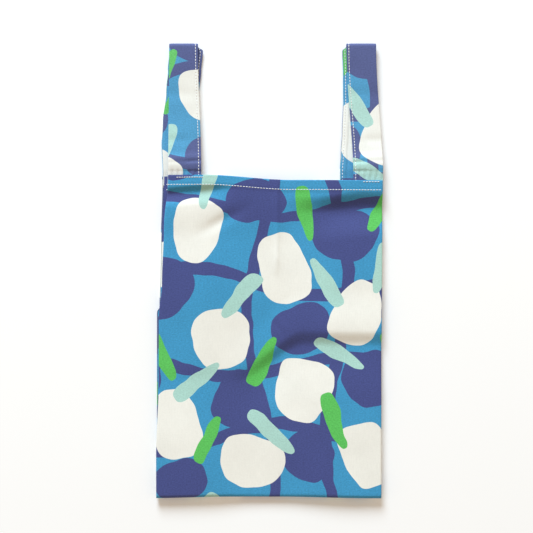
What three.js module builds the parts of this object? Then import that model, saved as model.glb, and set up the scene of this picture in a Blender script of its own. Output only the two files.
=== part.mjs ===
import * as THREE from 'three';

// A small gusseted cotton lunch bag, lying flat on its back face, mouth and handles towards +Y.
// Millimetres, +Z up. The origin is the middle of the bag's footprint, on the surface it lies on.
// Every ply of cloth is a slab of its own, stacked from the back face up to the front face.

// Driving dimensions of the bag's body
const BAG_WIDTH = 200;
const BODY_LENGTH = 288;
const GUSSET_FOLD_DEPTH = 60;
const GUSSET_STRIP_WIDTH = 29.7;
const HEM_DEPTH = 10;
const HEM_STITCH_FROM_EDGE = 8.5;
const BOTTOM_SEAM_ALLOWANCE = 8;
const BOTTOM_STITCH_FROM_EDGE = 6.5;

// Driving dimensions of the two handles
const HANDLE_REACH = 120;
const STRAP_WIDTH = 28;
const STRAP_THICKNESS = 1.4;
const LEFT_STRAP_INSET = 8.5;
const RIGHT_STRAP_INSET = 1.2;
const FLEX_ABOVE_HEM = 10;
const STRAP_STITCH_FROM_EDGE = 3.5;
const TACK_BELOW_HEM = 2;

// Cloth, thread and the room between plies
const CLOTH = 0.6;
const POCKET = 1.2;
const PLY_GAP = 0.3;
const THREAD_WIDTH = 0.7;
const THREAD_HEIGHT = 0.25;
const FOLD_GAP = 0.4;
const BACK_FLEX_GAP = 1.2;

// How finely the round pieces are faceted
const CROWN_STEPS = 18;
const ROOT_ARC_STEPS = 18;

// Heights of the plies, from the back face up to the middle of the closed bag
const halfWidth = BAG_WIDTH / 2;
const backPanelTop = CLOTH;
const backHemBottom = backPanelTop + PLY_GAP;
const backHemTop = backHemBottom + CLOTH;
const backStrapBottom = backHemTop + THREAD_HEIGHT + PLY_GAP;
const backStrapTop = backStrapBottom + STRAP_THICKNESS;
const gussetBackBottom = backStrapTop + PLY_GAP;
const gussetBackTop = gussetBackBottom + CLOTH;
const middle = gussetBackTop + POCKET / 2;

// The front half of the bag is the back half turned over about its middle
const frontOf = (height) => 2 * middle - height;
const gussetFrontBottom = frontOf(gussetBackTop);
const gussetFrontTop = frontOf(gussetBackBottom);
const frontStrapBottom = frontOf(backStrapTop);
const frontStrapTop = frontOf(backStrapBottom);
const frontHemBottom = frontOf(backHemTop);
const frontHemTop = frontOf(backHemBottom);
const frontPanelBottom = frontOf(backPanelTop);
const frontPanelTop = frontOf(0);

// Places along the bag, from its bottom edge to the top of the handles
const bottomEdge = -(BODY_LENGTH + HANDLE_REACH) / 2;
const hemEdge = bottomEdge + BODY_LENGTH;
const handleTop = hemEdge + HANDLE_REACH;
const gussetBottom = bottomEdge + CLOTH + PLY_GAP;
const flexLine = hemEdge + FLEX_ABOVE_HEM;
const crownRadius = frontStrapTop - middle;
const crownLine = handleTop - crownRadius;

// Places across the bag
const creaseLine = halfWidth - GUSSET_FOLD_DEPTH;
const sideWall = halfWidth - CLOTH;
const hemHalfWidth = sideWall - PLY_GAP;
const stripInner = halfWidth - GUSSET_STRIP_WIDTH;
const foldOuter = stripInner - PLY_GAP;
const seamHalfWidth = creaseLine - PLY_GAP;

const cloth = (color) => new THREE.MeshStandardMaterial({ color, roughness: 0.92, metalness: 0 });
const outerCloth = cloth(0x3e9acb);
const innerCloth = cloth(0x9cc7dd);
const strapCloth = cloth(0x4e5091);
const thread = cloth(0xf3f2ea);

function piece(name, geometry, material) {
  const mesh = new THREE.Mesh(geometry, material);
  mesh.name = name;
  return mesh;
}

// A straight slab between two corners, each given as across, along and up
function slab(name, low, high, material) {
  const size = high.map((value, axis) => value - low[axis]);
  const mesh = piece(name, new THREE.BoxGeometry(...size), material);
  mesh.position.set(...low.map((value, axis) => value + size[axis] / 2));
  return mesh;
}

// A profile in the across-up plane, run along the bag from one place to another
function runAlong(name, profile, from, to, material) {
  const geometry = new THREE.ExtrudeGeometry(profile, { depth: to - from, bevelEnabled: false });
  const mesh = piece(name, geometry, material);
  mesh.rotation.x = Math.PI / 2;
  mesh.position.y = to;
  return mesh;
}

function outline(points) {
  return new THREE.Shape(points.map(([x, y]) => new THREE.Vector2(x, y)));
}

// The gusset's outer strip and the turned cloth at the bag's side edge, as one angle section.
// Side is -1 on the left and 1 on the right.
function gussetStrip(name, side, panelFace, plyFrom, plyTo) {
  const profile = outline([
    [side * stripInner, plyFrom],
    [side * stripInner, plyTo],
    [side * halfWidth, plyTo],
    [side * halfWidth, panelFace],
    [side * sideWall, panelFace],
    [side * sideWall, plyFrom],
  ]);
  return runAlong(name, profile, gussetBottom, hemEdge, innerCloth);
}

// The ply next to the gusset's inner crease. The back one carries the turned crease itself.
function gussetFoldBack(name, side) {
  const creaseInner = side * creaseLine;
  const creaseOuter = side * (creaseLine + CLOTH);
  const creaseTop = gussetFrontBottom - PLY_GAP;
  const profile = outline([
    [creaseInner, gussetBackBottom],
    [side * foldOuter, gussetBackBottom],
    [side * foldOuter, gussetBackTop],
    [creaseOuter, gussetBackTop],
    [creaseOuter, creaseTop],
    [creaseInner, creaseTop],
  ]);
  return runAlong(name, profile, gussetBottom, hemEdge, innerCloth);
}

function gussetFoldFront(name, side) {
  const across = [side * creaseLine, side * foldOuter].sort((a, b) => a - b);
  const low = [across[0], gussetBottom, gussetFrontBottom];
  const high = [across[1], hemEdge, gussetFrontTop];
  return slab(name, low, high, innerCloth);
}

// The strap's end, tucked behind the hem: half a disc about the lean axis, and a short stub above it
function strapRoot(name, centre, bottom, stubEnd) {
  const half = STRAP_WIDTH / 2;
  const shape = new THREE.Shape();
  shape.moveTo(half, 0);
  shape.lineTo(half, stubEnd - hemEdge);
  shape.lineTo(-half, stubEnd - hemEdge);
  shape.lineTo(-half, 0);
  shape.absarc(0, 0, half, Math.PI, 2 * Math.PI, false);
  const options = { depth: STRAP_THICKNESS, bevelEnabled: false, curveSegments: ROOT_ARC_STEPS };
  const mesh = piece(name, new THREE.ExtrudeGeometry(shape, options), strapCloth);
  mesh.position.set(centre, hemEdge, bottom);
  return mesh;
}

function strapLeg(name, centre, from, to, bottom) {
  const half = STRAP_WIDTH / 2;
  const low = [centre - half, from, bottom];
  const high = [centre + half, to, bottom + STRAP_THICKNESS];
  return slab(name, low, high, strapCloth);
}

// The strap's bend over the top: half a ring about the crown line, from the front leg to the back leg
function strapCrown(name, centre) {
  const start = Math.PI / 2;
  const end = -start;
  const inner = crownRadius - STRAP_THICKNESS;
  const shape = new THREE.Shape();
  shape.absarc(0, 0, crownRadius, start, end, true);
  shape.absarc(0, 0, inner, end, start, false);
  const options = { depth: STRAP_WIDTH, bevelEnabled: false, curveSegments: CROWN_STEPS };
  const mesh = piece(name, new THREE.ExtrudeGeometry(shape, options), strapCloth);
  mesh.rotation.set(Math.PI / 2, Math.PI / 2, 0);
  mesh.position.set(centre - STRAP_WIDTH / 2, crownLine, middle);
  return mesh;
}

// A row of stitching, as one thin bar
function stitchRow(name, low, high) {
  return slab(name, low, high, thread);
}

function panels() {
  return [
    slab('back_panel', [-halfWidth, bottomEdge, 0], [halfWidth, hemEdge, backPanelTop], outerCloth),
    slab(
      'front_panel',
      [-halfWidth, bottomEdge, frontPanelBottom],
      [halfWidth, hemEdge, frontPanelTop],
      outerCloth,
    ),
  ];
}

function hems() {
  const hemStart = hemEdge - HEM_DEPTH;
  const rowLow = hemEdge - HEM_STITCH_FROM_EDGE - THREAD_WIDTH / 2;
  const rowHigh = rowLow + THREAD_WIDTH;
  return [
    slab(
      'back_hem_ply',
      [-hemHalfWidth, hemStart, backHemBottom],
      [hemHalfWidth, hemEdge, backHemTop],
      outerCloth,
    ),
    slab(
      'front_hem_ply',
      [-hemHalfWidth, hemStart, frontHemBottom],
      [hemHalfWidth, hemEdge, frontHemTop],
      outerCloth,
    ),
    stitchRow(
      'back_hem_thread',
      [-hemHalfWidth, rowLow, backHemTop],
      [hemHalfWidth, rowHigh, backHemTop + THREAD_HEIGHT],
    ),
    stitchRow(
      'front_hem_thread',
      [-hemHalfWidth, rowLow, frontPanelTop],
      [hemHalfWidth, rowHigh, frontPanelTop + THREAD_HEIGHT],
    ),
  ];
}

// The bottom edge: each panel turns in to the middle, and the sewn allowance lies inside the bag
function bottom() {
  const turnEnd = bottomEdge + CLOTH;
  const seamTop = backHemBottom + 2 * CLOTH;
  const rowLow = gussetBottom + BOTTOM_STITCH_FROM_EDGE - THREAD_WIDTH / 2;
  const backTurnTop = middle - FOLD_GAP / 2;
  const frontTurnBottom = middle + FOLD_GAP / 2;
  return [
    slab(
      'back_bottom_turn',
      [-halfWidth, bottomEdge, backHemBottom],
      [halfWidth, turnEnd, backTurnTop],
      outerCloth,
    ),
    slab(
      'front_bottom_turn',
      [-halfWidth, bottomEdge, frontTurnBottom],
      [halfWidth, turnEnd, frontHemTop],
      outerCloth,
    ),
    slab(
      'bottom_seam_allowance',
      [-seamHalfWidth, gussetBottom, backHemBottom],
      [seamHalfWidth, gussetBottom + BOTTOM_SEAM_ALLOWANCE, seamTop],
      innerCloth,
    ),
    stitchRow(
      'bottom_seam_thread',
      [-seamHalfWidth, rowLow, seamTop],
      [seamHalfWidth, rowLow + THREAD_WIDTH, seamTop + THREAD_HEIGHT],
    ),
  ];
}

function gusset(word, side) {
  return [
    gussetStrip(`${word}_gusset_back_strip`, side, backHemBottom, gussetBackBottom, gussetBackTop),
    gussetStrip(`${word}_gusset_front_strip`, side, frontHemTop, gussetFrontTop, gussetFrontBottom),
    gussetFoldBack(`${word}_gusset_fold_back`, side),
    gussetFoldFront(`${word}_gusset_fold_front`, side),
  ];
}

// The rows that tack a strap's end down behind the hem, one on each panel
function strapTacks(word, centre) {
  const half = STRAP_WIDTH / 2;
  const rowHigh = hemEdge - TACK_BELOW_HEM;
  const rowLow = rowHigh - THREAD_WIDTH;
  return [
    stitchRow(
      `${word}_front_tack_thread`,
      [centre - half, rowLow, frontPanelTop],
      [centre + half, rowHigh, frontPanelTop + THREAD_HEIGHT],
    ),
    stitchRow(
      `${word}_back_tack_thread`,
      [centre - half, rowLow, backHemTop],
      [centre + half, rowHigh, backHemTop + THREAD_HEIGHT],
    ),
  ];
}

// A handle: one strap up from the front panel, over the crown and down to the back panel.
// Side is -1 on the left and 1 on the right, and the stitching runs along the inner edge.
function handle(word, side, centre) {
  const frontRootEnd = flexLine - PLY_GAP / 2;
  const frontLegStart = flexLine + PLY_GAP / 2;
  const backRootEnd = flexLine - BACK_FLEX_GAP / 2;
  const backLegStart = flexLine + BACK_FLEX_GAP / 2;
  const legEnd = crownLine - PLY_GAP;
  const rowMiddle = centre - side * (STRAP_WIDTH / 2 - STRAP_STITCH_FROM_EDGE);
  const rowLow = rowMiddle - THREAD_WIDTH / 2;
  const rowHigh = rowMiddle + THREAD_WIDTH / 2;
  return [
    strapRoot(`${word}_handle_front_root`, centre, frontStrapBottom, frontRootEnd),
    strapLeg(`${word}_handle_front_leg`, centre, frontLegStart, legEnd, frontStrapBottom),
    stitchRow(
      `${word}_handle_front_thread`,
      [rowLow, frontLegStart, frontStrapTop],
      [rowHigh, legEnd, frontStrapTop + THREAD_HEIGHT],
    ),
    strapCrown(`${word}_handle_crown`, centre),
    strapLeg(`${word}_handle_back_leg`, centre, backLegStart, legEnd, backStrapBottom),
    stitchRow(
      `${word}_handle_back_thread`,
      [rowLow, backLegStart, backStrapBottom - THREAD_HEIGHT],
      [rowHigh, legEnd, backStrapBottom],
    ),
    strapRoot(`${word}_handle_back_root`, centre, backStrapBottom, backRootEnd),
  ];
}

function lunchBag() {
  const bag = new THREE.Group();
  bag.add(...panels(), ...hems(), ...bottom());
  const sides = [
    ['left', -1, LEFT_STRAP_INSET],
    ['right', 1, RIGHT_STRAP_INSET],
  ];
  for (const [word, side, inset] of sides) {
    const centre = side * (halfWidth - inset - STRAP_WIDTH / 2);
    bag.add(...gusset(word, side));
    bag.add(...strapTacks(word, centre));
    bag.add(...handle(word, side, centre));
  }
  return bag;
}

export default lunchBag();
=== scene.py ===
"""A small gusseted cotton lunch bag, lying flat with its two loop handles folded down, in printed cloth."""

import math

import bpy
import numpy as np
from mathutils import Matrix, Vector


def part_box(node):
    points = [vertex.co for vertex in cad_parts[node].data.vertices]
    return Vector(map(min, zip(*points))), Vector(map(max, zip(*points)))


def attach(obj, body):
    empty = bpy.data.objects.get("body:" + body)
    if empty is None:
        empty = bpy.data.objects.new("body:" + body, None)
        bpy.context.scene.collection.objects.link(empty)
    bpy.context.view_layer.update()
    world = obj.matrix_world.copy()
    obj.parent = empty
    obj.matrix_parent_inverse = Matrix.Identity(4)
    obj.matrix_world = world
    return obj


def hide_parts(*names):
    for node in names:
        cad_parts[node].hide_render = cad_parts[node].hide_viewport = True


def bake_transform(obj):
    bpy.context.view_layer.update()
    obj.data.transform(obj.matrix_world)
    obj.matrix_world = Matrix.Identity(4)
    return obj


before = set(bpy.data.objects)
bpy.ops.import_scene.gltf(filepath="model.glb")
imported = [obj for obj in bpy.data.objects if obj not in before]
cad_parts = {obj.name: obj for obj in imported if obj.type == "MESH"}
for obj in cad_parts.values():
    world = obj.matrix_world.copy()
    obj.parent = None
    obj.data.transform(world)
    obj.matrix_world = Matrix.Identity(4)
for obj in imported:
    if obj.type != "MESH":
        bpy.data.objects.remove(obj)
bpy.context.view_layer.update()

MM = 0.001
PIXEL = 0.897 * MM
PHOTO_SIDE = 533

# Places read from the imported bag
panel_low, panel_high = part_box("front_panel")
HALF_WIDTH = panel_high[0]
BOTTOM = panel_low[1]
HEM = panel_high[1]
FRONT_FACE = panel_high[2]
MIDDLE = FRONT_FACE / 2
CREASE = -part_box("left_gusset_fold_back")[1][0]
CROWN_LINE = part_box("left_handle_crown")[0][1]
FRONT_STRAP = (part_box("left_handle_front_leg")[0][2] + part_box("left_handle_front_leg")[1][2]) / 2
BACK_STRAP = 2 * MIDDLE - FRONT_STRAP
CROWN_RADIUS = FRONT_STRAP - MIDDLE
FLEX = (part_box("left_handle_back_root")[1][1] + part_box("left_handle_back_leg")[0][1]) / 2

# The cloth and how it is sewn
CLOTH = 0.45 * MM
HEM_DEPTH = 10 * MM
HEM_FOLD = 0.55 * MM
HEM_ROW = 8.3 * MM
TACK_ROW = 1.8 * MM
SIDE_ROLL = 1.3 * MM
COARSE_STEP = 2.4 * MM
BOTTOM_ROLL = 3.4 * MM
STRAP_PLY = 1.15 * MM
STRAP_ROW = 2.5 * MM
STRAP_HALF = 14 * MM
FACE_POINTS = 33
EDGE_POINTS = 5
STITCH_LENGTH = 2.1 * MM
STITCH_PITCH = 2.6 * MM
THREAD_RADIUS = 0.33 * MM


def ease(value, start, end):
    """0 before start, 1 after end, and 3t^2 - 2t^3 between them."""
    t = np.clip((value - start) / (end - start), 0, 1)
    return t * t * (3 - 2 * t)


def hump(value, centre, width):
    """A bell: e to the minus squared distance from centre, in widths."""
    return np.exp(-(((value - centre) / width) ** 2))


def ripple(x, y, size, turn):
    """A smooth uneven relief from -1 to 1: the mean of five sine waves of about that size, turned apart."""
    total = 0
    for k in range(5):
        angle = turn + 1.3 * k
        length = size * (0.75 + 0.17 * k)
        along = x * math.cos(angle) + y * math.sin(angle)
        total = total + np.sin(2 * math.pi * along / length + 2.1 * k + turn)
    return total / 5


def through(value, stations):
    """The smooth height at value through given (place, height) pairs, eased from each to the next."""
    result = np.full_like(np.asarray(value, float), stations[0][1])
    for (start, low), (end, high) in zip(stations, stations[1:]):
        result = result + (high - low) * ease(np.asarray(value, float), start, end)
    return result


def in_millimetres(stations):
    """Listed (place, height) pairs in millimetres, as metres."""
    return [(place * MM, height * MM) for place, height in stations]


# Outline of the two panels as they lie

def front_left_edge(y):
    """The front panel's left edge: skewed inwards towards the mouth, so that the layer behind shows, and
    spread a little at the bottom."""
    spread = through(y, in_millimetres([(-165, -2.3), (-100, 0)]))
    skew = through(y, in_millimetres([(-45, 0), (-12, 3.0), (35, 4.6), (84, 8.6)]))
    return -HALF_WIDTH + spread + skew


def back_left_edge(y):
    """The back panel's left edge, nearly straight. Half way down it steps out beside the front panel."""
    stations = [(-38, -2.0), (-34, 0.3), (20, 1.4), (84, 3.2)]
    return -HALF_WIDTH + through(y, in_millimetres(stations))


def front_right_edge(y):
    """The front panel's right edge, a little fuller towards the mouth."""
    return HALF_WIDTH + 0.2 * MM + 0.9 * MM * ease(y, -100 * MM, 60 * MM)


def back_right_edge(y):
    """The back panel's right edge, just inside the front one."""
    return HALF_WIDTH - 1.0 * MM + 0 * y


def hem_line(x):
    """How far the mouth's edge lies above its mean line: high over the left strap, low in the right
    half."""
    return through(x, in_millimetres([(-100, 1.2), (-58, 1.4), (20, -3.2), (98, -3.7)]))


def bottom_line(x):
    """How far the bottom edge lies above its mean line: the corners hang a little lower than the middle."""
    return -0.1 * MM - through(np.abs(x + 12 * MM), in_millimetres([(20, 0), (104, 1.5)]))


def back_hem_line(x):
    """The back panel's mouth edge, a little lower than the front one so that it stays hidden."""
    return hem_line(x) - 0.9 * MM


def end_shift(x, y, mouth_line):
    """How far the lines of the mouth and the bottom move the cloth along the bag, less and less inwards."""
    near_mouth = ease(y, BOTTOM + 60 * MM, HEM - 14 * MM)
    near_bottom = 1 - ease(y, BOTTOM, BOTTOM + 50 * MM)
    return mouth_line(x) * near_mouth + bottom_line(x) * near_bottom


# Relief of the panels

def mouth_relief(x, y, below):
    """The front panel's relief by its mouth: the hem's second ply with its stitched groove and puckers, a
    high stack over the right strap that falls away below the hem, and a valley and a ridge across the left
    side."""
    hem_ply = 0.35 * MM * (1 - ease(below, 8.8 * MM, 11.5 * MM))
    row_groove = -0.25 * MM * hump(below, HEM_ROW, 0.9 * MM)
    hem_puckers = 0.16 * MM * hump(below, HEM_ROW, 5 * MM) * ripple(x, y * 0.2, 9 * MM, 1.1)
    lowered = below - 5 * MM * (1 - ease(x, 35 * MM, 85 * MM))
    right_heights = [(9.3, 3.6), (25, -3.9), (52, 0)]
    right_stack = through(lowered, in_millimetres(right_heights)) * ease(x, 8 * MM, 66 * MM)
    tilted = below + 0.07 * (x + 72 * MM)
    left_heights = [(9.3, 1.9), (15.5, -1.6), (28, 0.8), (54, -0.6), (80, 0)]
    left_side = through(tilted, in_millimetres(left_heights)) * (1 - ease(x, -62 * MM, -26 * MM))
    slant = (below - 40 * MM) + 0.55 * (x + 42 * MM)
    left_valley = -1.5 * MM * hump(slant, 0, 6 * MM) * hump(x, -42 * MM, 18 * MM)
    return hem_ply + row_groove + hem_puckers + right_stack + left_side + left_valley


def fold_relief(x, y, below):
    """The front panel's folds: a pressed crease down its middle, a long step that comes in from the right
    half way down, and a crumpled spot where the two meet."""
    peak = np.exp(-np.abs(x - 6.3 * MM) / (2.4 * MM))
    crease = 1.5 * MM * peak * (1 - ease(below, 70 * MM, 90 * MM))
    low_crease = 0.25 * MM * peak * ease(below, 255 * MM, 285 * MM)
    past = below - 142 * MM - 36 * MM * (1 - ease(x, -32 * MM, 32 * MM))
    drop = ease(past, -7.5 * MM, 7.5 * MM)
    return_slopes = 0.5 * ease(past, -44 * MM, -9 * MM) + 0.5 * ease(past, 9 * MM, 56 * MM)
    step = -4.0 * MM * (drop - return_slopes) * (0.15 + 0.85 * ease(x, -46 * MM, 6 * MM))
    crumpled = 0.3 * MM * hump(x, 8 * MM, 7 * MM) * hump(below, 130 * MM, 7 * MM)
    return crease + low_crease + step + crumpled * np.sin((x + 0.6 * y) / (1.7 * MM))


def soft_relief(x, y, below):
    """The front panel's soft waves of three sizes, its puckers over the bottom seam, the sag between the
    straps and a wide dip in its lower half."""
    swell = 0.75 * MM * ripple(x, y, 120 * MM, 0.6)
    waves = 0.22 * MM * ripple(x, y * 0.7, 42 * MM, 2.2)
    small = 0.04 * MM * ripple(x * 1.4, y, 13 * MM, 4.1)
    pucker_reach = ease(below, 258 * MM, 284 * MM) * hump(x, 16 * MM, 13 * MM)
    puckers = 0.25 * MM * pucker_reach * np.sin(2 * math.pi * x / (4.6 * MM))
    sag = -1.9 * MM * (1 - ease(np.abs(x), 12 * MM, 62 * MM)) * ease(below, 16 * MM, 60 * MM)
    dip = -1.2 * MM * hump(below, 178 * MM, 62 * MM)
    return swell + waves + small + puckers + sag + dip


def front_relief(x, y):
    """Height of the front panel over its plain level."""
    below = HEM + hem_line(x) - y
    settled = 0.9 * MM
    return mouth_relief(x, y, below) + fold_relief(x, y, below) + soft_relief(x, y, below) - settled


def back_relief(x, y):
    """Height of the back panel's outer face over what it lies on, raised by hem rows and soft waves."""
    below = HEM + back_hem_line(x) - y
    hem_rise = 0.52 * MM * hump(below, HEM_ROW, 2.0 * MM)
    tack_rise = 0.5 * MM * hump(below, TACK_ROW, 1.6 * MM)
    waves = 0.22 * MM * (1 + ripple(x, y, 70 * MM, 3.1))
    return 0.05 * MM + hem_rise + tack_rise + waves


# Meshes

def grid_faces(rows, columns):
    """Quads of a grid of points numbered row by row, as an array of four indices a face."""
    first = (np.arange(rows - 1)[:, None] * columns + np.arange(columns - 1)[None, :]).ravel()
    return np.stack([first, first + 1, first + columns + 1, first + columns], axis=1)


def in_scene(name, data):
    """A new object with that data, linked into the scene."""
    new = bpy.data.objects.new(name, data)
    bpy.context.collection.objects.link(new)
    return new


def finished(name, points, faces, place, materials, face_slots):
    """A mesh object from an array of points and a list of faces, with a print place in metres for every
    point as its UV map. Edges sharper than 60 degrees stay sharp."""
    mesh = bpy.data.meshes.new(name)
    mesh.from_pydata(points.tolist(), [], faces)
    mesh.polygons.foreach_set("use_smooth", np.ones(len(mesh.polygons), bool))
    mesh.polygons.foreach_set("material_index", np.asarray(face_slots, np.int32))
    corners = np.empty(len(mesh.loops), np.int32)
    mesh.loops.foreach_get("vertex_index", corners)
    mesh.uv_layers.new(name="print").data.foreach_set("uv", place[corners].astype(np.float32).ravel())
    for material in materials:
        mesh.materials.append(material)
    mesh.update()
    mesh.set_sharp_from_angle(angle=math.radians(60))
    return in_scene(name, mesh)


def grid_normals(points):
    """Unit normals of a grid of points: the cross product of its steps along a row and along a column."""
    along_row = np.gradient(points, axis=1)
    along_column = np.gradient(points, axis=0)
    normal = np.cross(along_row, along_column)
    return normal / np.linalg.norm(normal, axis=2, keepdims=True)


def cloth(name, points, place, thickness, materials):
    """A closed sheet of cloth. The grid is its printed face, and its reverse lies that thickness behind it,
    along the grid's normals. A rim of quads joins the two all round."""
    rows, columns = points.shape[:2]
    reverse = points - grid_normals(points) * thickness
    count = rows * columns
    front = grid_faces(rows, columns)
    back = front[:, ::-1] + count
    index = np.arange(count).reshape(rows, columns)
    loop = np.concatenate([index[0, :], index[1:, -1], index[-1, -2::-1], index[-2:0:-1, 0]])
    after = np.roll(loop, -1)
    rim = np.stack([after, loop, loop + count, after + count], axis=1)
    faces = np.concatenate([front, back, rim]).tolist()
    slots = np.concatenate([np.zeros(len(front)), np.ones(len(back)), np.zeros(len(rim))])
    everything = np.concatenate([points.reshape(-1, 3), reverse.reshape(-1, 3)])
    spread = np.concatenate([place.reshape(-1, 2)] * 2)
    return finished(name, everything, faces, spread, materials, slots)


def spaced(start, end, step):
    """Evenly spaced values from start to end, about that step apart."""
    return np.linspace(start, end, max(2, int(round(abs(end - start) / step)) + 1))


def walked_along(line):
    """How far each point of a line lies from its start, along the line."""
    return np.concatenate([[0], np.cumsum(np.linalg.norm(np.diff(line, axis=0), axis=1))])


def panel_grid(left_edge, right_edge, mouth_line, height, step):
    """A panel's printed face as a grid. Along the bag it rolls up from the middle of the bottom edge by a
    quarter ellipse, runs flat to the mouth, turns by a half circle and comes back as the hem ply. At each
    side it rolls down by an arc. Returns the points and their place on the uncut cloth."""
    fine_from = HEM - 32 * MM
    roll = np.linspace(0, math.pi / 2, 9)
    fold = np.linspace(math.pi / 2, -math.pi / 2, 9)
    coarse = spaced(BOTTOM + BOTTOM_ROLL, fine_from, step)[1:-1]
    flat = np.concatenate([coarse, spaced(fine_from, HEM - HEM_FOLD, step / 2)[:-1]])
    ply = spaced(HEM - HEM_FOLD, HEM - HEM_DEPTH, step)[1:]
    rolled = BOTTOM + BOTTOM_ROLL * (1 - np.cos(roll))
    folded = HEM - HEM_FOLD + HEM_FOLD * np.cos(fold)
    y = np.concatenate([rolled, flat, folded, ply])
    rise = np.concatenate([np.sin(roll), np.ones(len(flat) + len(fold) + len(ply))])
    drop = np.concatenate([0 * roll, 0 * flat, HEM_FOLD * (1 - np.sin(fold)), 0 * ply + 2 * HEM_FOLD])
    side_roll = np.linspace(0, math.radians(80), 7)[1:]
    inner = spaced(-1, 1, step / HALF_WIDTH)
    share = np.concatenate([0 * side_roll - 1, inner, 0 * side_roll + 1])
    turn = np.concatenate([-side_roll[::-1], 0 * inner, side_roll])
    share_grid, y_grid = np.meshgrid(share, y)
    left = left_edge(y_grid) + SIDE_ROLL
    right = right_edge(y_grid) - SIDE_ROLL
    x = (left + right) / 2 + share_grid * (right - left) / 2 + SIDE_ROLL * np.sin(turn)
    y_lying = y_grid + end_shift(x, y_grid, mouth_line)
    level = height(x, y_lying) - SIDE_ROLL * (1 - np.cos(turn))
    z = MIDDLE + (level - MIDDLE) * rise[:, None] - drop[:, None]
    length = np.concatenate([[0], np.cumsum(np.hypot(np.diff(y), np.diff(rise * MIDDLE - drop)))])
    place = np.stack([x, BOTTOM + length[:, None] + 0 * x], axis=2)
    return np.stack([x, y_lying, z], axis=2), place


def gusset_grid(side, front_edge, back_edge, step):
    """A gusset's printed face as a grid: across, from the back panel's edge in to the crease, round it by a
    half circle, and out to the front panel's edge, which it hangs from, climbing all the way, but pressed
    down wherever the front panel lies lower. Along, it runs from the bottom edge to the mouth. Side is -1
    on the left and 1 on the right, and the two edges are the panels' own on that side."""
    bend_radius = 0.5 * MM
    inside_edge = 0.9 * MM
    knee_drop = 1.1 * MM
    bend = np.linspace(-math.pi / 2, math.pi / 2, 9)[1:-1]
    inward = spaced(1, 0, step / (HALF_WIDTH - CREASE))
    y = spaced(BOTTOM + 1.7 * MM, HEM, step)
    reach, y_grid = np.meshgrid(np.concatenate([inward, 0 * bend, inward[::-1]]), y)
    ahead = np.concatenate([0 * inward - 1, np.sin(bend), 0 * inward + 1])[None, :]
    tuck = np.concatenate([0 * inward, np.cos(bend), 0 * inward])[None, :]
    edge = np.abs(np.where(ahead < 0, back_edge(y_grid), front_edge(y_grid))) - inside_edge
    x = CREASE - tuck * bend_radius + reach * (edge - CREASE)
    y_lying = y_grid + end_shift(side * x, y_grid, back_hem_line)
    ply_end = HEM + hem_line(side * x) - HEM_DEPTH
    under_hem = 1.9 * MM * ease(y_lying, ply_end - 5 * MM, ply_end - 1 * MM)
    front_level = FRONT_FACE + front_relief(side * (edge - 2 * MM), y_lying) - 0.9 * MM - under_hem
    over_strap = 1.1 * MM * ease(y_grid, HEM - 30 * MM, HEM - 11 * MM)
    edge_away = np.where(ahead < 0, MIDDLE - SIDE_ROLL - over_strap, front_level - MIDDLE)
    knee = knee_drop * ease((1 - reach) * (edge - CREASE), 0, 2 * MM)
    slope = (edge_away - knee_drop - bend_radius) * (1 - reach)
    away = np.where(np.abs(ahead) < 1, bend_radius, edge_away - knee - slope)
    wave = 0.25 * MM * ripple(x, y_grid, 45 * MM, 1.7 + side) * reach * (1 - reach) * 4
    z = MIDDLE + ahead * away + wave
    pressed = FRONT_FACE + front_relief(side * x, y_lying) - (1.5 - 0.6 * ahead) * MM - under_hem
    z = np.minimum(z, pressed)
    points = np.stack([side * x, y_lying, z], axis=2)
    place = np.stack([walked_along(points[0])[None, :] + 0 * x, y_grid], axis=2)
    if side > 0:
        return points[:, ::-1], place[:, ::-1]
    return points, place


# Stitching

def sampled(values, walked, at):
    """The rows of values that belong to those distances along a line, mixed from the two nearest."""
    return np.stack([np.interp(at, walked, column) for column in values.T], axis=1)


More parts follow.
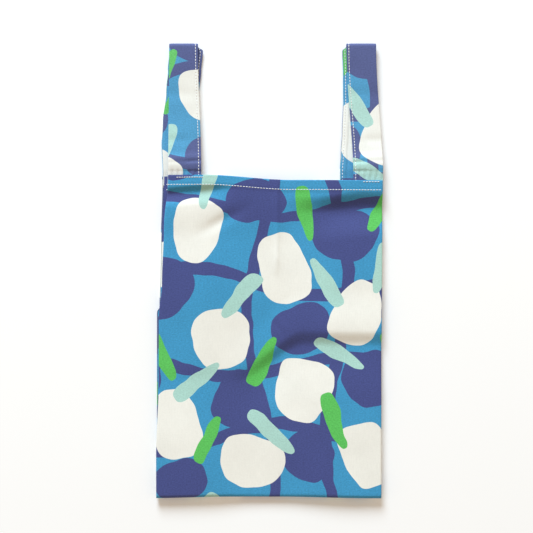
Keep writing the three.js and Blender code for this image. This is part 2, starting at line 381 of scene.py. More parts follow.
def stitches(name, line, normals, material, length=STITCH_LENGTH, pitch=STITCH_PITCH):
    """A row of thread stitches along a line. Each is a short six-sided tube, thickest in its middle, whose
    ends dive into the cloth, and they follow each other at even distances of the line's length."""
    walked = walked_along(line)
    count = max(1, int(walked[-1] / pitch))
    centre_at = (np.arange(count) + 0.5) * walked[-1] / count
    ahead = 0.25 * MM
    centre = sampled(line, walked, centre_at)
    tangent = sampled(line, walked, centre_at + ahead) - sampled(line, walked, centre_at - ahead)
    tangent /= np.linalg.norm(tangent, axis=1, keepdims=True)
    up = sampled(normals, walked, centre_at)
    up -= tangent * np.sum(up * tangent, axis=1, keepdims=True)
    up /= np.linalg.norm(up, axis=1, keepdims=True)
    beside = np.cross(tangent, up)
    along = np.array([-0.5, -0.44, -0.22, 0.22, 0.44, 0.5]) * length
    radius = np.array([0.2, 0.65, 1.0, 1.0, 0.65, 0.2]) * THREAD_RADIUS
    lift = np.array([-0.6, 0.1, 0.55, 0.55, 0.1, -0.6]) * THREAD_RADIUS
    sides = 6
    angle = np.arange(sides) * 2 * math.pi / sides
    ring = np.cos(angle)[None, :, None] * beside[:, None, None, :]
    ring = ring + np.sin(angle)[None, :, None] * up[:, None, None, :]
    middle = centre[:, None, :] + along[None, :, None] * tangent[:, None, :]
    middle = middle + lift[None, :, None] * up[:, None, :]
    points = middle[:, :, None, :] + radius[None, :, None, None] * ring
    rings = len(along)
    base = (np.arange(count) * rings * sides)[:, None]
    first = (np.arange(rings - 1)[:, None] * sides + np.arange(sides)[None, :]).ravel()
    beside_first = (np.arange(rings - 1)[:, None] * sides + (np.arange(sides) + 1)[None, :] % sides).ravel()
    quads = np.stack([first, beside_first, beside_first + sides, first + sides], axis=1)
    faces = (quads[None, :, :] + base[:, :, None]).reshape(-1, 4).tolist()
    start_cap = np.arange(sides)[::-1]
    end_cap = np.arange(sides) + (rings - 1) * sides
    faces += (start_cap[None, :] + base).tolist() + (end_cap[None, :] + base).tolist()
    flat = points.reshape(-1, 3)
    return finished(name, flat, faces, flat[:, :2], [material], np.zeros(len(faces)))


# Straps

def handle_path(front_centre, front_half, back_centre, back_half, stack):
    """A whole handle's middle line, from behind the front hem up to the crown, round it by a half circle
    and down behind the back hem. Stack is how much the hem's plies lift its front end. Returns its points,
    half widths, heights over the mouth, and 1 in front or -1 behind."""
    tuck = 8 * MM
    step = 1.2 * MM
    climb = spaced(-tuck, CROWN_LINE - HEM, step)
    bend = np.linspace(math.pi / 2, -math.pi / 2, 15)[1:-1]
    over = 0 * bend + CROWN_LINE - HEM
    height = np.concatenate([climb, over, climb[::-1]])
    front = np.concatenate([0 * climb + 1, np.sin(bend), 0 * climb - 1])
    y = HEM + height + CROWN_RADIUS * np.concatenate([0 * climb, np.cos(bend), 0 * climb])
    sag = np.sin(math.pi * np.clip(climb / (CROWN_LINE - HEM), 0, 1)) ** 2
    tucked = 1 - ease(climb, -1 * MM, 7 * MM)
    bulge = hump(climb, 12 * MM, 6.5 * MM)
    front_level = FRONT_STRAP - 0.5 * MM * tucked + stack * (1 - ease(climb, 4 * MM, 34 * MM))
    front_level = front_level + 1.1 * MM * bulge - 1.5 * MM * sag
    back_level = BACK_STRAP - 0.6 * MM * tucked - 1.3 * MM * sag
    z = np.concatenate([front_level, MIDDLE + CROWN_RADIUS * np.sin(bend), back_level[::-1]])
    crown_front = through(climb[-1:], front_centre)
    behind = climb[::-1]
    settle = ease(climb[-1] - behind, 0.3 * MM, 3.2 * MM)
    x_back = crown_front + (through(behind, back_centre) - crown_front) * settle
    x = np.concatenate([through(climb, front_centre), 0 * bend + crown_front, x_back])
    wide = through(climb[-1:], front_half)
    half_back = wide + (through(behind, back_half) - wide) * settle
    half = np.concatenate([through(climb, front_half), 0 * bend + wide, half_back])
    return np.stack([x, y, z], axis=1), half, height, front


def strap_out(path):
    """Unit directions out of a handle's outer face, one for each point of its line."""
    forward = np.gradient(path, axis=0)
    out = np.stack([0 * forward[:, 0], -forward[:, 2], forward[:, 1]], axis=1)
    return out / np.linalg.norm(out, axis=1, keepdims=True)


def strap_relief(side, reach, from_open_edge, face, h, front):
    """How far a handle's surface lies out of its plain level: puckers where the hem holds its front leg,
    and folds across that leg, a lap on the right handle's back leg, a dimple in the left one's, and soft
    waves. Reach is the distance across and h the height over the mouth."""
    in_front = np.clip(front, 0, 1)[:, None]
    behind = np.clip(-front, 0, 1)[:, None]
    pinch = hump(h, 1.5 * MM, 4.5 * MM) * in_front
    puckers = 0.45 * MM * pinch * np.sin(2 * math.pi * reach / (5.2 * MM) + side)
    inner_half = ease(-side * reach, -3 * MM, 5 * MM)
    slanted = h - 0.06 * reach
    fold = -0.95 * MM * hump(slanted, 13.5 * MM, 1.2 * MM) * (0.3 + 0.7 * inner_half)
    fold = fold + 0.45 * MM * hump(slanted, 17.5 * MM, 2.6 * MM)
    fold = fold - 0.75 * MM * hump(h, 4.6 * MM, 1.1 * MM) * (0.35 + 0.65 * inner_half)
    fold = fold - 0.5 * MM * hump(h, 33 * MM, 4 * MM) * (1 - 0.6 * inner_half)
    fold = fold - 0.45 * MM * hump(h, 74 * MM, 6 * MM)
    soft_reach = ease(h, 8 * MM, 30 * MM) * (1 - ease(h, 96 * MM, 112 * MM))
    soft = 0.32 * MM * ripple(reach, h, 34 * MM, 1.9 * side + 0.7) * soft_reach
    lap = -0.65 * MM * (face < -0.5) * (1 - ease(h, 76 * MM, 88 * MM)) * max(side, 0)
    lap = lap * (1 - ease(from_open_edge, 5.0 * MM, 5.3 * MM))
    dimple = 0.9 * MM * hump(h, 58 * MM, 6 * MM) * hump(reach, -9 * MM, 4.5 * MM) * max(-side, 0)
    return puckers + fold * in_front + soft + (lap + dimple) * behind


def strap_surface(side, path, half, height, front):
    """A whole handle's surface as a grid of closed loops. Each loop has the outer face, a round edge, the
    inner face and the other round edge, all as shares of the half width across and of half the ply's
    thickness out. The plies are pressed thin at the stitch row by the inner edge."""
    run = np.linspace(-1, 1, FACE_POINTS)
    edge = np.linspace(math.pi / 2, -math.pi / 2, EDGE_POINTS + 2)[1:-1]
    share = np.concatenate([run, 0 * edge + 1, run[::-1], 0 * edge - 1])[None, :]
    face = np.concatenate([0 * run + 1, np.sin(edge), 0 * run - 1, -np.sin(edge)])[None, :]
    bulge = np.concatenate([0 * run, np.cos(edge), 0 * run, -np.cos(edge)])[None, :]
    out = strap_out(path)
    reach = share * (half[:, None] - STRAP_PLY / 2)
    from_open_edge = half[:, None] + side * reach
    ply = STRAP_PLY / 2 * (1 - 0.42 * hump(from_open_edge, STRAP_ROW, 0.8 * MM))
    ply = ply * (1 - 0.25 * hump(np.abs(reach), half[:, None], 1.6 * MM))
    lift = strap_relief(side, reach, from_open_edge, face, height[:, None], front) + face * ply
    points = path[:, None, :] + out[:, None, :] * lift[:, :, None]
    points[:, :, 0] += reach + bulge * STRAP_PLY / 2
    girth = np.concatenate([run, 0 * edge + 1, 2 - run[::-1], 0 * edge - 1])[None, :] * half[:, None]
    place = np.stack([girth, walked_along(path)[:, None] + 0 * girth], axis=2)
    return points, place, out


def tube(name, points, place, materials):
    """A closed tube from a grid of loops, with its first and last loop filled."""
    rows, columns = points.shape[:2]
    index = np.arange(rows * columns).reshape(rows, columns)
    ring = np.concatenate([index, index[:, :1]], axis=1)
    quads = np.stack([ring[:-1, :-1], ring[:-1, 1:], ring[1:, 1:], ring[1:, :-1]], axis=2).reshape(-1, 4)
    faces = quads.tolist() + [index[0, ::-1].tolist(), index[-1].tolist()]
    slots = np.zeros(len(faces))
    return finished(name, points.reshape(-1, 3), faces, place.reshape(-1, 2), materials, slots)


# Materials

def linear(red, green, blue):
    """A colour in screen values from 0 to 255, as the linear values that materials take."""
    shares = [value / 255 for value in (red, green, blue)]
    return [s / 12.92 if s <= 0.04045 else ((s + 0.055) / 1.055) ** 2.4 for s in shares] + [1.0]


BLUE = linear(60, 150, 197)
NAVY = linear(65, 74, 132)
OFF_WHITE = linear(241, 240, 232)
GREEN = linear(91, 193, 91)
MINT = linear(173, 215, 205)
PALE_REVERSE = linear(205, 218, 226)
THREAD_SHADE = linear(226, 228, 232)
THREAD_LIGHT = linear(252, 251, 247)
REPEAT = (212 * MM, 290 * MM, 1.0)
ZERO = (0.0, 0.0, 0.0)
GRAIN = 0.7
REVERSE_FADE = 0.62
# Painted haze of light on the straps: their printed face is paled this much towards the reverse colour, so
# they look brighter.
STRAP_PAINTED_HAZE = 0.06


def give(tree, socket, value):
    """Sets one input to a value, or links it to another node's output."""
    if isinstance(value, bpy.types.NodeSocket):
        tree.links.new(value, socket)
    else:
        socket.default_value = value


def add(tree, kind, inputs=(), **settings):
    """A node of that kind in the tree, with its settings, and its inputs by name or number."""
    new = tree.nodes.new(kind)
    for key, value in settings.items():
        setattr(new, key, value)
    for key, value in dict(inputs).items():
        give(tree, new.inputs[key], value)
    return new


def calc(tree, operation, first, second=0.0):
    """One Math node, and its result."""
    return add(tree, "ShaderNodeMath", {0: first, 1: second}, operation=operation).outputs[0]


def vector_calc(tree, operation, first, second=(0, 0, 0), third=(0, 0, 0)):
    """One Vector Math node, and its result."""
    inputs = {0: first, 1: second}
    if operation == "WRAP":
        inputs[2] = third
    return add(tree, "ShaderNodeVectorMath", inputs, operation=operation).outputs[0]


def mixed(tree, share, first, second):
    """One Mix node for colours, and its result: the first where share is 0 and the second where it is 1."""
    mix = add(tree, "ShaderNodeMix", data_type="RGBA")
    sockets = {s.name: s for s in mix.inputs if s.type == "RGBA"}
    give(tree, mix.inputs["Factor"], share)
    give(tree, sockets["A"], first)
    give(tree, sockets["B"], second)
    return [s for s in mix.outputs if s.type == "RGBA"][0]


def noise(tree, place, scale, detail):
    """The outputs of one Noise Texture node."""
    return add(tree, "ShaderNodeTexNoise", {"Vector": place, "Scale": scale, "Detail": detail}).outputs


def inside(tree, share, softness):
    """1 where share is under 1 and 0 where it is over, with a soft edge between them."""
    edge = {"Value": share, "From Min": 1 + softness, "From Max": 1 - softness}
    return add(tree, "ShaderNodeMapRange", edge, interpolation_type="SMOOTHSTEP").outputs[0]


def new_material(name):
    """A new material, its node tree and its Principled shader."""
    material = bpy.data.materials.new(name)
    material.use_nodes = True
    return material, material.node_tree, material.node_tree.nodes["Principled BSDF"]


def group(name, inputs, outputs):
    """An empty node group, with its inputs as (name, kind, default) and its outputs as (name, kind)."""
    tree = bpy.data.node_groups.new(name, "ShaderNodeTree")
    for label, kind, default in inputs:
        socket = tree.interface.new_socket(label, in_out="INPUT", socket_type="NodeSocket" + kind)
        socket.default_value = default
    for label, kind in outputs:
        tree.interface.new_socket(label, in_out="OUTPUT", socket_type="NodeSocket" + kind)
    return tree, tree.nodes.new("NodeGroupInput").outputs, tree.nodes.new("NodeGroupOutput").inputs


def placed(tree, shared, inputs):
    """A shared group placed in the tree, and its inputs set by name."""
    new = tree.nodes.new("ShaderNodeGroup")
    new.node_tree = shared
    for key, value in inputs.items():
        give(tree, new.inputs[key], value)
    return new


def pebble_group():
    """A mask of one rounded shape in a repeating print: 1 inside a turned, tapered superellipse."""
    tree, given, result = group(
        "rounded shape",
        [
            ("Place", "Vector", ZERO),
            ("Centre", "Vector", ZERO),
            ("Size", "Vector", (0.02, 0.02, 1.0)),
            ("Turn", "Float", 0.0),
            ("Squareness", "Float", 2.4),
            ("Taper", "Float", 0.0),
        ],
        [("Mask", "Float")],
    )
    half = tuple(side / 2 for side in REPEAT)
    lowest = tuple(-side for side in half)
    away = vector_calc(tree, "SUBTRACT", given["Place"], given["Centre"])
    nearest = vector_calc(tree, "WRAP", away, half, lowest)
    turn = {"Vector": nearest, "Angle": given["Turn"]}
    turned = add(tree, "ShaderNodeVectorRotate", turn, rotation_type="Z_AXIS")
    shares = vector_calc(tree, "DIVIDE", turned.outputs[0], given["Size"])
    parts = add(tree, "ShaderNodeSeparateXYZ", {0: shares}).outputs
    slim = calc(tree, "ADD", calc(tree, "MULTIPLY", parts[1], given["Taper"]), 1.0)
    across = calc(tree, "ABSOLUTE", calc(tree, "DIVIDE", parts[0], slim))
    along = calc(tree, "ABSOLUTE", parts[1])
    squared_across = calc(tree, "POWER", across, given["Squareness"])
    squared_along = calc(tree, "POWER", along, given["Squareness"])
    reach = calc(tree, "ADD", squared_across, squared_along)
    tree.links.new(inside(tree, reach, 0.015), result["Mask"])
    return tree


def band_group():
    """A mask of one waving band that crosses the print from side to side: 1 within its half width."""
    tree, given, result = group(
        "waving band",
        [
            ("Along", "Float", 0.0),
            ("Across", "Float", 0.0),
            ("Length", "Float", 0.2),
            ("Period", "Float", 0.2),
            ("Level", "Float", 0.0),
            ("Swing", "Float", 0.01),
            ("Phase", "Float", 0.0),
            ("Half Width", "Float", 0.005),
        ],
        [("Mask", "Float")],
    )
    turns = calc(tree, "MULTIPLY", calc(tree, "DIVIDE", given["Along"], given["Length"]), 2 * math.pi)
    wave = calc(tree, "SINE", calc(tree, "ADD", turns, given["Phase"]))
    sway = calc(tree, "MULTIPLY", wave, given["Swing"])
    height = calc(tree, "SUBTRACT", calc(tree, "SUBTRACT", given["Across"], given["Level"]), sway)
    half = calc(tree, "MULTIPLY", given["Period"], 0.5)
    lowest = calc(tree, "MULTIPLY", half, -1.0)
    wrap = add(tree, "ShaderNodeMath", {0: height, 1: half, 2: lowest}, operation="WRAP")
    share = calc(tree, "DIVIDE", calc(tree, "ABSOLUTE", wrap.outputs[0]), given["Half Width"])
    tree.links.new(inside(tree, share, 0.04), result["Mask"])
    return tree


# The print: rounded shapes and short strokes over waving bands, as (across, along, half width, half height,
# degrees, squareness, taper), in millimetres on the repeat
NAVY_SHAPES = [
    (172, 240, 30, 24, 12, 2.4, 0.15),
    (92, 268, 27, 19, -12, 2.3, -0.15),
    (10, 186, 24, 28, 18, 2.5, 0.2),
    (134, 152, 27, 22, -25, 2.3, 0.15),
    (78, 88, 23, 27, 20, 2.5, -0.2),
    (196, 106, 24, 26, -10, 2.4, 0.15),
    (140, 38, 23, 22, 35, 2.4, -0.1),
    (26, 14, 24, 20, -20, 2.3, 0.1),
]
WHITE_SHAPES = [
    (40, 238, 21, 29, 10, 2.7, 0.2),
    (118, 208, 22, 32, -16, 2.8, -0.15),
    (184, 168, 21, 31, 22, 2.6, -0.2),
    (62, 142, 26, 27, -12, 2.5, 0.12),
    (136, 96, 25, 29, 14, 2.7, 0.18),
    (22, 66, 21, 31, -8, 2.7, -0.16),
    (90, 32, 29, 23, 8, 2.5, 0.1),
    (192, 38, 21, 29, -18, 2.7, 0.2),
]
MINT_STROKES = [
    (80, 182, 6.5, 26, 38, 3.0, 0.3),
    (156, 196, 6.5, 25, -30, 3.0, -0.3),
    (206, 210, 6, 24, 12, 3.0, 0.25),
    (108, 58, 6.5, 27, -48, 3.0, 0.25),
    (40, 104, 6.5, 26, 52, 3.0, -0.25),
    (168, 130, 6, 25, -62, 3.0, 0.3),
    (50, 276, 6, 20, 16, 3.0, 0.3),
]
GREEN_STROKES = [
    (138, 258, 6.5, 25, -10, 3.2, 0.3),
    (100, 122, 6.5, 24, 26, 3.2, -0.3),
    (164, 68, 6.5, 26, -20, 3.2, 0.3),
    (50, 52, 6, 22, 24, 3.2, -0.2),
    (8, 128, 6.5, 25, -28, 3.2, 0.25),
    (206, 262, 6, 22, 30, 3.2, 0.2),
]
# Each band as (level, swing, phase, half width), in millimetres and radians
LEVEL_BANDS = [(194, 11, 0.4, 5.5), (118, 9, 2.6, 5), (54, 12, 4.4, 5.5), (262, 8, 1.5, 5)]
UPRIGHT_BANDS = [(98, 13, 1.2, 5), (166, 10, 3.6, 5.5)]


def print_group():
    """The printed colour at a place on the cloth: shapes laid one over the other, with hand-cut edges."""
    tree, given, result = group("printed pattern", [("Place", "Vector", ZERO)], [("Color", "Color")])
    shape = pebble_group()
    band = band_group()
    waver = noise(tree, given["Place"], 42.0, 1.0)["Color"]
    centred = vector_calc(tree, "SUBTRACT", waver, (0.5, 0.5, 0.5))
    offset = vector_calc(tree, "MULTIPLY", centred, (7 * MM, 7 * MM, 0))
    place = vector_calc(tree, "ADD", given["Place"], offset)
    parts = add(tree, "ShaderNodeSeparateXYZ", {0: place}).outputs
    color = BLUE
    for bands, along, across in ((LEVEL_BANDS, 0, 1), (UPRIGHT_BANDS, 1, 0)):
        for level, swing, phase, half_width in bands:
            inputs = {
                "Along": parts[along],
                "Across": parts[across],
                "Length": REPEAT[along],
                "Period": REPEAT[across],
                "Level": level * MM,
                "Swing": swing * MM,
                "Phase": phase,
                "Half Width": half_width * MM,
            }
            color = mixed(tree, placed(tree, band, inputs).outputs[0], color, NAVY)
    layers = ((NAVY, NAVY_SHAPES), (OFF_WHITE, WHITE_SHAPES), (MINT, MINT_STROKES), (GREEN, GREEN_STROKES))
    for ink, shapes in layers:
        for across, along, half_width, half_height, degrees, squareness, taper in shapes:
            inputs = {
                "Place": place,
                "Centre": (across * MM, along * MM, 0),
                "Size": (half_width * MM, half_height * MM, 1),
                "Turn": math.radians(degrees),
                "Squareness": squareness,
                "Taper": taper,
            }
            color = mixed(tree, placed(tree, shape, inputs).outputs[0], color, ink)
    tree.links.new(color, result["Color"])
    return tree


def weave_group():
    """Plain weave at a place on the cloth: a height that rises and falls from thread to thread with uneven
    yarn, a shade near 1 for the yarn and the wear of washing, and a grain about 0 for the dyed yarns."""
    tree, given, result = group(
        "plain weave",
        [("Place", "Vector", ZERO), ("Pitch", "Float", 0.7 * MM)],
        [("Height", "Float"), ("Shade", "Float"), ("Grain", "Float")],
    )
    parts = add(tree, "ShaderNodeSeparateXYZ", {0: given["Place"]}).outputs
    waves = []
    for part in parts[:2]:
        turns = calc(tree, "MULTIPLY", calc(tree, "DIVIDE", part, given["Pitch"]), 2 * math.pi)
        waves.append(calc(tree, "SINE", turns))
    crossing = calc(tree, "MULTIPLY", waves[0], waves[1])
    slubs = []
    for stretch in ((900.0, 130.0, 1.0), (110.0, 700.0, 1.0)):
        stretched = vector_calc(tree, "MULTIPLY", given["Place"], stretch)
        slubs.append(noise(tree, stretched, 1.0, 2.0)[0])
    yarn = calc(tree, "ADD", calc(tree, "MULTIPLY", slubs[0], 1.4), calc(tree, "MULTIPLY", slubs[1], 0.6))
    height = calc(tree, "ADD", calc(tree, "MULTIPLY", crossing, 0.12), yarn)
    washed = noise(tree, given["Place"], 30.0, 3.0)[0]
    yarn_range = {"Value": yarn, "From Min": 0.6, "From Max": 1.4, "To Min": 0.97, "To Max": 1.025}
    shade = add(tree, "ShaderNodeMapRange", yarn_range)
    wear_range = {"Value": washed, "From Min": 0.3, "From Max": 0.7, "To Min": 0.97, "To Max": 1.03}
    wear = add(tree, "ShaderNodeMapRange", wear_range)
    both = calc(tree, "MULTIPLY", shade.outputs[0], wear.outputs[0])
    specks = vector_calc(tree, "MULTIPLY", given["Place"], (650.0, 950.0, 1.0))
    tree.links.new(calc(tree, "SUBTRACT", noise(tree, specks, 1.0, 1.0)[0], 0.5), result["Grain"])
    tree.links.new(height, result["Height"])
    tree.links.new(both, result["Shade"])
    return tree


PRINT = print_group()
WEAVE = weave_group()


def cotton(name, fade_and_painted_haze, offset):
    """Printed cotton. The fade share is 0 on the printed face and nearer 1 on the reverse, where the dye
    barely comes through. On the straps a small share of it is a painted haze of light, which makes them look
    brighter than the body. Offset moves the print on the piece."""
    material, tree, surface = new_material(name)
    cloth_place = add(tree, "ShaderNodeUVMap", (), uv_map="print").outputs[0]
    shift = {"Vector": cloth_place, "Location": (*offset, 0)}
    moved = add(tree, "ShaderNodeMapping", shift).outputs[0]
    ink = placed(tree, PRINT, {"Place": moved}).outputs["Color"]
    weave = placed(tree, WEAVE, {"Place": cloth_place})
    # Paled towards the reverse colour: a real fade on the reverse, and on the straps a painted haze of light.
    ink_with_fade_and_haze = mixed(tree, fade_and_painted_haze, ink, PALE_REVERSE)
    red = add(tree, "ShaderNodeSeparateColor", {"Color": ink}).outputs[0]
    dyed = calc(tree, "SUBTRACT", 1.0, red)
    grain = calc(tree, "MULTIPLY", calc(tree, "MULTIPLY", weave.outputs["Grain"], dyed), GRAIN)
    shading = {0: ink_with_fade_and_haze, "Scale": calc(tree, "ADD", weave.outputs["Shade"], grain)}
    shaded = add(tree, "ShaderNodeVectorMath", shading, operation="SCALE").outputs[0]
    tree.links.new(shaded, surface.inputs["Base Color"])
    relief = {"Strength": 0.45, "Distance": 0.08 * MM, "Height": weave.outputs["Height"]}
    tree.links.new(add(tree, "ShaderNodeBump", relief).outputs[0], surface.inputs["Normal"])
    surface.inputs["Roughness"].default_value = 0.72
    surface.inputs["Specular IOR Level"].default_value = 0.35
    surface.inputs["Sheen Weight"].default_value = 0.1
    surface.inputs["Sheen Roughness"].default_value = 0.5
    return material


def sewing_thread():
    """Off-white sewing thread with a fine uneven twist."""
    material, tree, surface = new_material("sewing_thread")
    where = add(tree, "ShaderNodeTexCoord").outputs["Object"]
    fibre = noise(tree, where, 2600.0, 2.0)[0]
    tree.links.new(mixed(tree, fibre, THREAD_SHADE, THREAD_LIGHT), surface.inputs["Base Color"])
    relief = {"Strength": 0.5, "Distance": 0.05 * MM, "Height": fibre}
    tree.links.new(add(tree, "ShaderNodeBump", relief).outputs[0], surface.inputs["Normal"])
    surface.inputs["Roughness"].default_value = 0.7
    return material


def both_faces(part, across, along):
    """The cotton of one part of the bag, with its print moved so far: its face and its paler reverse."""
    offset = (across * MM, along * MM)
    printed = cotton(f"printed_cotton_{part}", 0.0, offset)
    return [printed, cotton(f"cotton_reverse_{part}", REVERSE_FADE, offset)]


THREAD = sewing_thread()
FRONT_CLOTH = both_faces("front", 106, 201)
BACK_CLOTH = both_faces("back", 20, 90)
GUSSET_CLOTH = both_faces("gusset", 70, 30)
# The straps' print is paled a little as a painted haze of light, so they look brighter than the body.
STRAP_CLOTH = cotton("printed_cotton_strap", STRAP_PAINTED_HAZE, (0, 0))


# The bag, piece by piece


def row_below(points, edge_line, below, x_from, x_to):
    """The row of a panel's grid that lies that far below its mouth, between two places, and its normals."""
    top = int(np.argmax(points[:, points.shape[1] // 2, 1]))
    away = HEM + edge_line(points[:top, :, 0]) - points[:top, :, 1]
    row = int(np.argmin(np.abs(away.mean(axis=1) - below)))
    keep = (points[row, :, 0] >= x_from) & (points[row, :, 0] <= x_to)
    return points[row, keep], grid_normals(points)[row, keep]


def rides(piece, body, slot, *nodes):
    """The piece moves with that body and stands for those nodes, which are hidden. Slot is not used."""
    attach(piece, body)
    if nodes:
        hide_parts(*nodes)


def front_panel():
    """The front panel with its turned hem, its hem row and its two tack rows."""
    def lying(x, y):
        return FRONT_FACE + front_relief(x, y)

    points, place = panel_grid(front_left_edge, front_right_edge, hem_line, lying, 1.6 * MM)
    piece = cloth("front_cloth", points, place, CLOTH, FRONT_CLOTH)
    rides(piece, "front", "printed_cloth", "front_panel", "front_hem_ply", "front_bottom_turn")
    line, normals = row_below(points, hem_line, HEM_ROW, -HALF_WIDTH, HALF_WIDTH)
    row = stitches("front_hem_stitches", line, normals, THREAD)
    rides(row, "front", "thread", "front_hem_thread")
    tacks = (("left", -85, -59, TACK_ROW), ("right", 82, 99.5, TACK_ROW - 0.8 * MM))
    for word, x_from, x_to, below in tacks:
        line, normals = row_below(points, hem_line, below, x_from * MM, x_to * MM)
        tack = stitches(f"{word}_front_tack_stitches", line, normals, THREAD, 2.0 * MM, 2.2 * MM)
        rides(tack, "front", "thread", f"{word}_front_tack_thread")


def back_panel():
    """The back panel, lying under the rest: the front panel's form turned over, with its own rows."""
    def lying(x, y):
        return 2 * MIDDLE - back_relief(x, y)

    points, place = panel_grid(back_left_edge, back_right_edge, back_hem_line, lying, COARSE_STEP)
    points[:, :, 2] = 2 * MIDDLE - points[:, :, 2]
    points = points[:, ::-1].copy()
    piece = cloth("back_cloth", points, place[:, ::-1], CLOTH, BACK_CLOTH)
    rides(piece, "back", "printed_cloth", "back_panel", "back_hem_ply", "back_bottom_turn")
    line, normals = row_below(points, back_hem_line, HEM_ROW, -HALF_WIDTH, HALF_WIDTH)
    row = stitches("back_hem_stitches", line, normals, THREAD)
    rides(row, "back", "thread", "back_hem_thread")
    for word, x_from, x_to in (("left", -95, -70), ("right", 66, 91)):
        line, normals = row_below(points, back_hem_line, TACK_ROW, x_from * MM, x_to * MM)
        tack = stitches(f"{word}_back_tack_stitches", line, normals, THREAD)
        rides(tack, "back", "thread", f"{word}_back_tack_thread")


def gusset(word, side):
    """One side gusset, folded in between the panels, with the hem row across it. It is cut at its crease in
    two plies."""
    edges = (front_left_edge, back_left_edge) if side < 0 else (front_right_edge, back_right_edge)
    points, place = gusset_grid(side, *edges, COARSE_STEP)
    row = points.shape[0] - 1 - int(round(HEM_ROW / COARSE_STEP))
    crease = points.shape[1] // 2
    outwards = slice(None, crease + 1), slice(crease, None)
    plies = dict(zip(("back", "front") if side < 0 else ("front", "back"), outwards))
    for body, other in (("back", "front"), ("front", "back")):
        ply = points[:, plies[body]]
        normals = grid_normals(ply)
        piece = cloth(f"{word}_gusset_{body}_cloth", ply, place[:, plies[body]], CLOTH, GUSSET_CLOTH)
        row_name = f"{word}_gusset_{body}_hem_stitches"
        threads = [stitches(row_name, ply[row, 1:-1], normals[row, 1:-1], THREAD)]
        if body == "back":
            outer = slice(1, 6) if side < 0 else slice(-6, -1)
            line = ply[row - 2, outer]
            threads.append(stitches(f"{word}_gusset_tack_stitches", line, normals[row - 2, outer], THREAD))
        for part in (piece, *threads):
            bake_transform(part)
        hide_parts(f"{word}_gusset_{body}_strip", f"{word}_gusset_fold_{body}")


def bottom_seam():
    """The allowance inside the bottom edge, two plies overcast together, with the thread over their
    edge."""
    low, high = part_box("bottom_seam_allowance")
    radius = (high[2] - low[2]) / 2
    bend = np.linspace(-math.pi / 2, math.pi / 2, 7)[1:-1]
    back_in = spaced(high[1], low[1] + radius, 1 * MM)
    y_row = np.concatenate([back_in, low[1] + radius * (1 - np.cos(bend)), back_in[::-1]])
    z_row = (low[2] + high[2]) / 2 + radius * np.concatenate([0 * back_in - 1, np.sin(bend), 0 * back_in + 1])
    x, y = np.meshgrid(spaced(low[0], high[0], 2 * MM), y_row)
    points = np.stack([x, y, z_row[:, None] + 0 * x], axis=2)
    piece = cloth("bottom_seam_cloth", points, np.stack([x, y], axis=2), CLOTH, BACK_CLOTH[::-1])
    rides(piece, "back", "cloth_reverse", "bottom_seam_allowance")
    zigzag = points[-2].copy()
    zigzag[:, 1] += 1.0 * MM * (-1.0) ** np.arange(len(zigzag))
    row = stitches("bottom_seam_stitches", zigzag, grid_normals(points)[-2], THREAD, 2.0 * MM, 2.25 * MM)
    rides(row, "back", "thread", "bottom_seam_thread")


def handle(word, side, stack, print_shift, front_centre, front_half, back_centre, back_half):
    """One loop handle: a doubled strap from behind the front hem, over the crown and down behind the back
    hem, cut into four stretches, with its edge stitching on both faces."""
    shape = [in_millimetres(stations) for stations in (front_centre, front_half, back_centre, back_half)]
    path, half, height, front = handle_path(*shape, stack)
    points, place, out = strap_surface(side, path, half, height, front)
    place = place + np.array(print_shift) * MM
    climb = np.flatnonzero(front >= 1)
    descent = np.flatnonzero(front <= -1)
    above_hem = climb[int(np.argmin(np.abs(height[climb] - 5 * MM)))]
    above_flex = climb[int(np.argmin(np.abs(height[climb] - 24 * MM)))]
    back_flex = descent[int(np.argmin(np.abs(height[descent] - (FLEX - HEM))))]
    bodies = ("root", "front_leg", "back_leg", "back_root")
    root, front_leg, back_leg, back_root = [f"{word}_handle_{body}" for body in bodies]
    at_hem = ((0, HEM - 6 * MM, 0), (0, HEM + 4 * MM, 0))
    above = ((0, HEM + 6 * MM, 0), (0, HEM + 20 * MM, 0))
    turns = ((0, 0, MIDDLE - 0.05 * MM), (0, 0, MIDDLE - 1.25 * MM))
    loop_nodes = ["front_leg", "crown", "back_leg"]
    stretches = (
        ("front_end", 0, above_hem, "front", root, at_hem, ["front_root"]),
        ("front_flex", above_hem, above_flex, root, front_leg, above, []),
        ("loop", above_flex, back_flex, front_leg, back_leg, turns, loop_nodes),
        ("back_end", back_flex, len(path) - 1, "back", back_root, at_hem, ["back_root"]),
    )
    share = -side * (1 - (STRAP_ROW - STRAP_PLY / 2) / STRAP_HALF)
    outer = int(round((share + 1) / 2 * (FACE_POINTS - 1)))
    inner = 2 * FACE_POINTS + EDGE_POINTS - 1 - outer
    for part, first, last, near, far, (start, end), nodes in stretches:
        rows = slice(first, last + 1)
        piece = tube(f"{word}_strap_{part}", points[rows], place[rows], [STRAP_CLOTH])
        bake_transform(piece)
        if nodes:
            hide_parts(*[f"{word}_handle_{node}" for node in nodes])
        for face, column, sign in (("outer", outer, 1), ("inner", inner, -1)):
            line = points[rows, column]
            row = stitches(f"{word}_strap_{part}_{face}_stitches", line, sign * out[rows], THREAD)
            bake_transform(row)
            if part == "loop":
                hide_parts(f"{word}_handle_{'front' if face == 'outer' else 'back'}_thread")


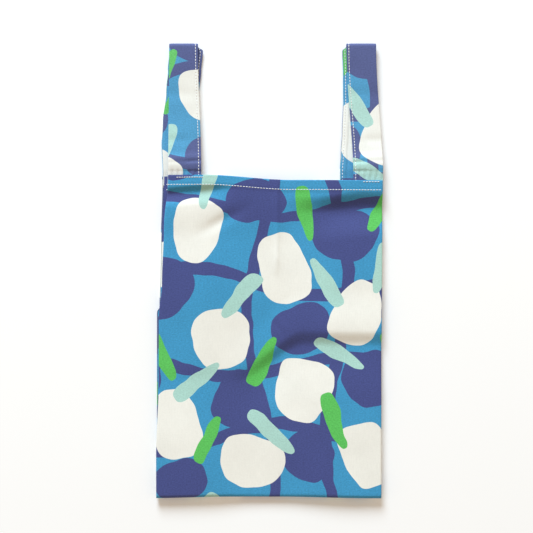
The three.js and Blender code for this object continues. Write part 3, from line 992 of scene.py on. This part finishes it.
front_panel()
back_panel()
gusset("left", -1)
gusset("right", 1)
bottom_seam()
handle(
    "left",
    -1,
    stack=0.5 * MM,
    print_shift=(66, 240),
    front_centre=[(0, -76.6), (117, -77.7)],
    front_half=[(0, 15.0), (117, 12.9)],
    back_centre=[(5, -82.1), (30, -83.1), (50, -82.2), (76, -79.0), (96, -77.0), (115, -75.4)],
    back_half=[(0, 14.6), (117, 15.1)],
)
handle(
    "right",
    1,
    stack=1.9 * MM,
    print_shift=(165, 120),
    front_centre=[(0, 88.2), (117, 82.1)],
    front_half=[(0, 13.4), (117, 13.4)],
    back_centre=[(5, 77.9), (20, 78.7), (40, 79.9), (68, 80.9), (90, 80.8), (115, 80.1)],
    back_half=[(0, 14.9), (117, 14.9)],
)


# Floor, light and camera

WARM_LIGHT = (1.07, 0.84, 0.6, 1)
WHITE = (1.0, 1.0, 1.0, 1)


def looked_at(tree):
    """1 for what the camera sees, also by way of a glossy or a clear surface, and 0 for light on things."""
    path = add(tree, "ShaderNodeLightPath").outputs
    mirrored = calc(tree, "MAXIMUM", path["Is Glossy Ray"], path["Is Transmission Ray"])
    return calc(tree, "MAXIMUM", path["Is Camera Ray"], mirrored)


def pale_floor():
    """A pale floor whose soft glow only shows to the camera, stronger away from the bag."""
    reach = 3.0
    corners = [(-reach, -reach, 0), (reach, -reach, 0), (reach, reach, 0), (-reach, reach, 0)]
    mesh = bpy.data.meshes.new("floor")
    mesh.from_pydata(corners, [], [(0, 1, 2, 3)])
    paper, tree, surface = new_material("white_paper")
    surface.inputs["Base Color"].default_value = (0.9, 0.9, 0.9, 1)
    surface.inputs["Roughness"].default_value = 1.0
    surface.inputs["Specular IOR Level"].default_value = 0.0
    surface.inputs["Emission Color"].default_value = (1, 1, 1, 1)
    where = add(tree, "ShaderNodeTexCoord").outputs["Object"]
    far = add(tree, "ShaderNodeVectorMath", {0: where}, operation="LENGTH").outputs["Value"]
    rise = {"Value": far, "From Min": 0.32, "From Max": 1.1, "To Min": 0.125, "To Max": 0.9}
    glow = add(tree, "ShaderNodeMapRange", rise, interpolation_type="SMOOTHSTEP").outputs[0]
    tree.links.new(calc(tree, "MULTIPLY", looked_at(tree), glow), surface.inputs["Emission Strength"])
    mesh.materials.append(paper)
    in_scene("floor", mesh)


def surroundings():
    """A soft warm light from all sides, which looks white where the camera sees it."""
    world = bpy.data.worlds.new("surroundings")
    bpy.context.scene.world = world
    world.use_nodes = True
    tree = world.node_tree
    background = tree.nodes["Background"]
    seen = looked_at(tree)
    tree.links.new(mixed(tree, seen, WARM_LIGHT, WHITE), background.inputs["Color"])
    strength = calc(tree, "ADD", calc(tree, "MULTIPLY", seen, 0.55), 0.45)
    tree.links.new(strength, background.inputs["Strength"])


def window_light():
    """One broad soft light, a little cool, from beyond the mouth and the left side."""
    window = bpy.data.lights.new("window", "AREA")
    window.shape = "DISK"
    window.size = 2.1
    window.energy = 218
    window.color = (0.83, 1.0, 1.14)
    lamp = in_scene("window", window)
    lamp.location = (-0.72, 3.5, 2.2)
    lamp.rotation_euler = (-lamp.location).to_track_quat("-Z", "Y").to_euler()


def camera_above():
    """A camera straight above, at which one pixel of the photograph is PIXEL wide on the front panel."""
    distance = 1.3
    camera = bpy.data.cameras.new("camera")
    camera.lens = camera.sensor_width * distance / (PHOTO_SIDE * PIXEL)
    view = in_scene("camera", camera)
    view.location = (-3.1 * MM, 3.1 * MM, FRONT_FACE + distance)
    bpy.context.scene.camera = view
    bpy.context.scene.view_settings.view_transform = "Standard"


pale_floor()
surroundings()
window_light()
camera_above()
